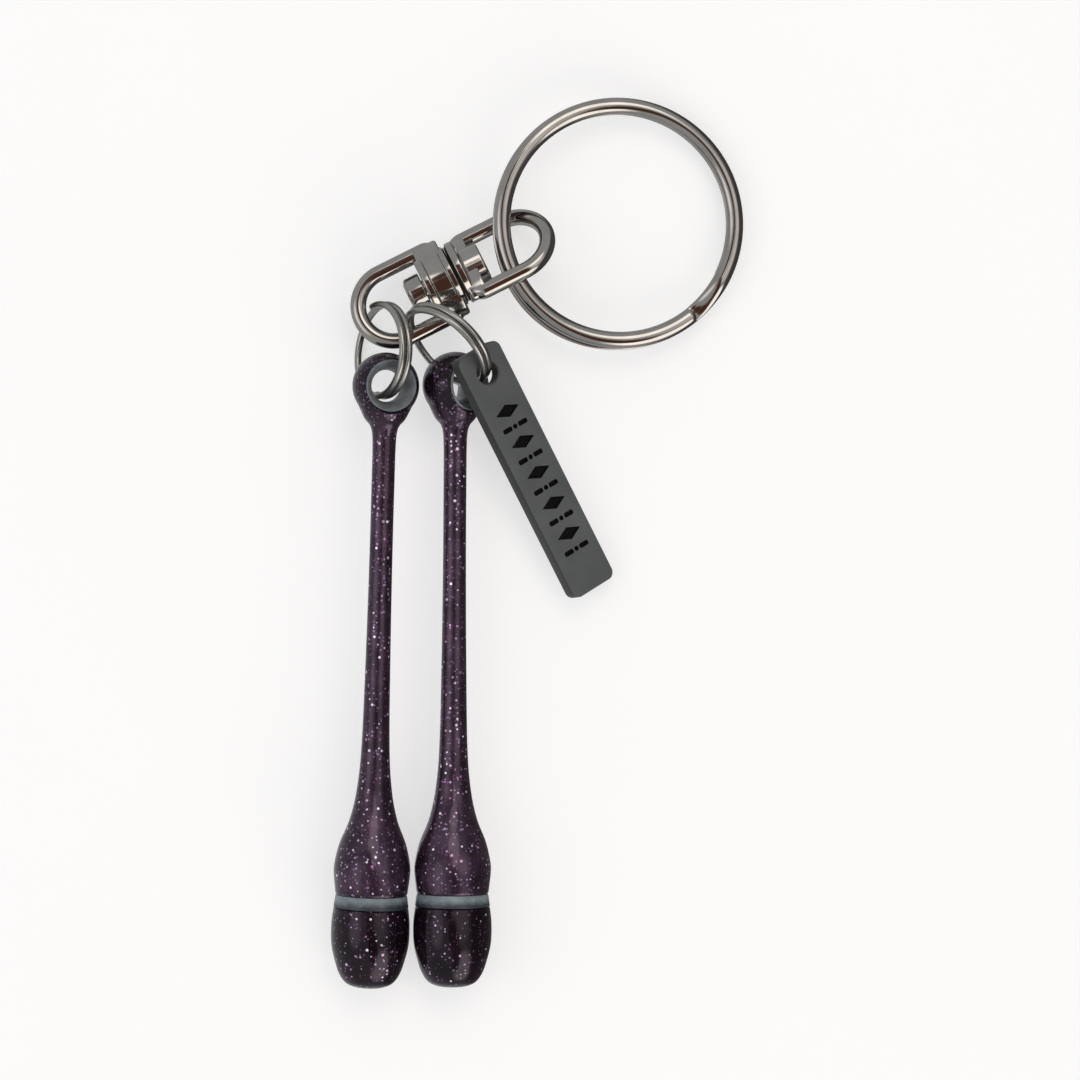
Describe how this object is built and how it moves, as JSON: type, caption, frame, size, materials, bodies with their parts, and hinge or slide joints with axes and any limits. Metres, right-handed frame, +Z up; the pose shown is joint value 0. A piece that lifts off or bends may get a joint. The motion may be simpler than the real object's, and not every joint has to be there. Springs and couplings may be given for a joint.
{
  "type": "key ring with miniature clubs",
  "caption": "Flat-lying key ring with a double-eye swivel, small link rings, a soft bar tag and miniature glossy gymnastics clubs with grey bands.",
  "frame": {"origin": "centre of the bounding box, at its bottom face, which is the table the object lies on", "axes": "+Z up from the table, the clubs hang from the rings towards -Y, the key ring is at the +X +Y corner"},
  "size_m": [0.0496, 0.1068, 0.0126],
  "materials": {
    "bright_nickel": "bright nickel plate, polished",
    "dull_nickel": "nickel plate on thin spring wire, slightly duller",
    "glitter_plastic": "dark purple glossy plastic with fine glitter",
    "grey_plastic": "satin blue-grey plastic",
    "grey_rubber": "matte grey soft rubber with debossed plain ornament"
  },
  "bodies": {
    "key_ring": {"key_ring": "bright_nickel"},
    "upper_eye": {"swivel_upper_eye": "bright_nickel", "swivel_rivet": "bright_nickel"},
    "lower_eye": {"swivel_lower_eye": "bright_nickel"},
    "left_link": {"link_ring_left": "dull_nickel"},
    "right_link": {"link_ring_right": "dull_nickel"},
    "left_club": {"left_club_body": "glitter_plastic", "left_club_eyelet": "grey_plastic", "left_club_band": "grey_plastic", "left_club_foot": "glitter_plastic"},
    "right_club": {"right_club_body": "glitter_plastic", "right_club_eyelet": "grey_plastic", "right_club_band": "grey_plastic", "right_club_foot": "glitter_plastic"},
    "tag": {"tag": "grey_rubber"}
  },
  "joints": [
    {"name": "ring_swing", "type": "hinge", "parent": "key_ring", "child": "upper_eye", "pos_m": [-0.00358, 0.03501, 0.00485], "axis": [0.2419, -0.9703, 0], "range_deg": [-80, 80]},
    {"name": "swivel_turn", "type": "hinge", "parent": "upper_eye", "child": "lower_eye", "pos_m": [-0.00979, 0.03207, 0.00475], "axis": [0.8944, 0.4473, 0], "continuous": true},
    {"name": "left_link_swing", "type": "hinge", "parent": "lower_eye", "child": "left_link", "pos_m": [-0.01865, 0.02431, 0.00507], "axis": [0.9419, -0.3275, 0.0751], "range_deg": [-5, 50]},
    {"name": "left_club_swing", "type": "hinge", "parent": "left_link", "child": "left_club", "pos_m": [-0.01816, 0.01868, 0.00594], "axis": [0.3084, -0.0269, 0.9509], "range_deg": [-90, 0]},
    {"name": "right_link_swing", "type": "hinge", "parent": "lower_eye", "child": "right_link", "pos_m": [-0.01406, 0.02515, 0.0052], "axis": [-0.8944, -0.4473, 0], "range_deg": [-95, 5]},
    {"name": "right_club_swing", "type": "hinge", "parent": "right_link", "child": "right_club", "pos_m": [-0.00986, 0.01885, 0.00402], "axis": [0.7071, 0.0033, 0.7071], "range_deg": [0, 90]},
    {"name": "tag_swing", "type": "hinge", "parent": "right_link", "child": "tag", "pos_m": [-0.00637, 0.02016, 0.00736], "axis": [-0.4746, -0.0691, -0.8775], "range_deg": [-60, 75]}
  ]
}
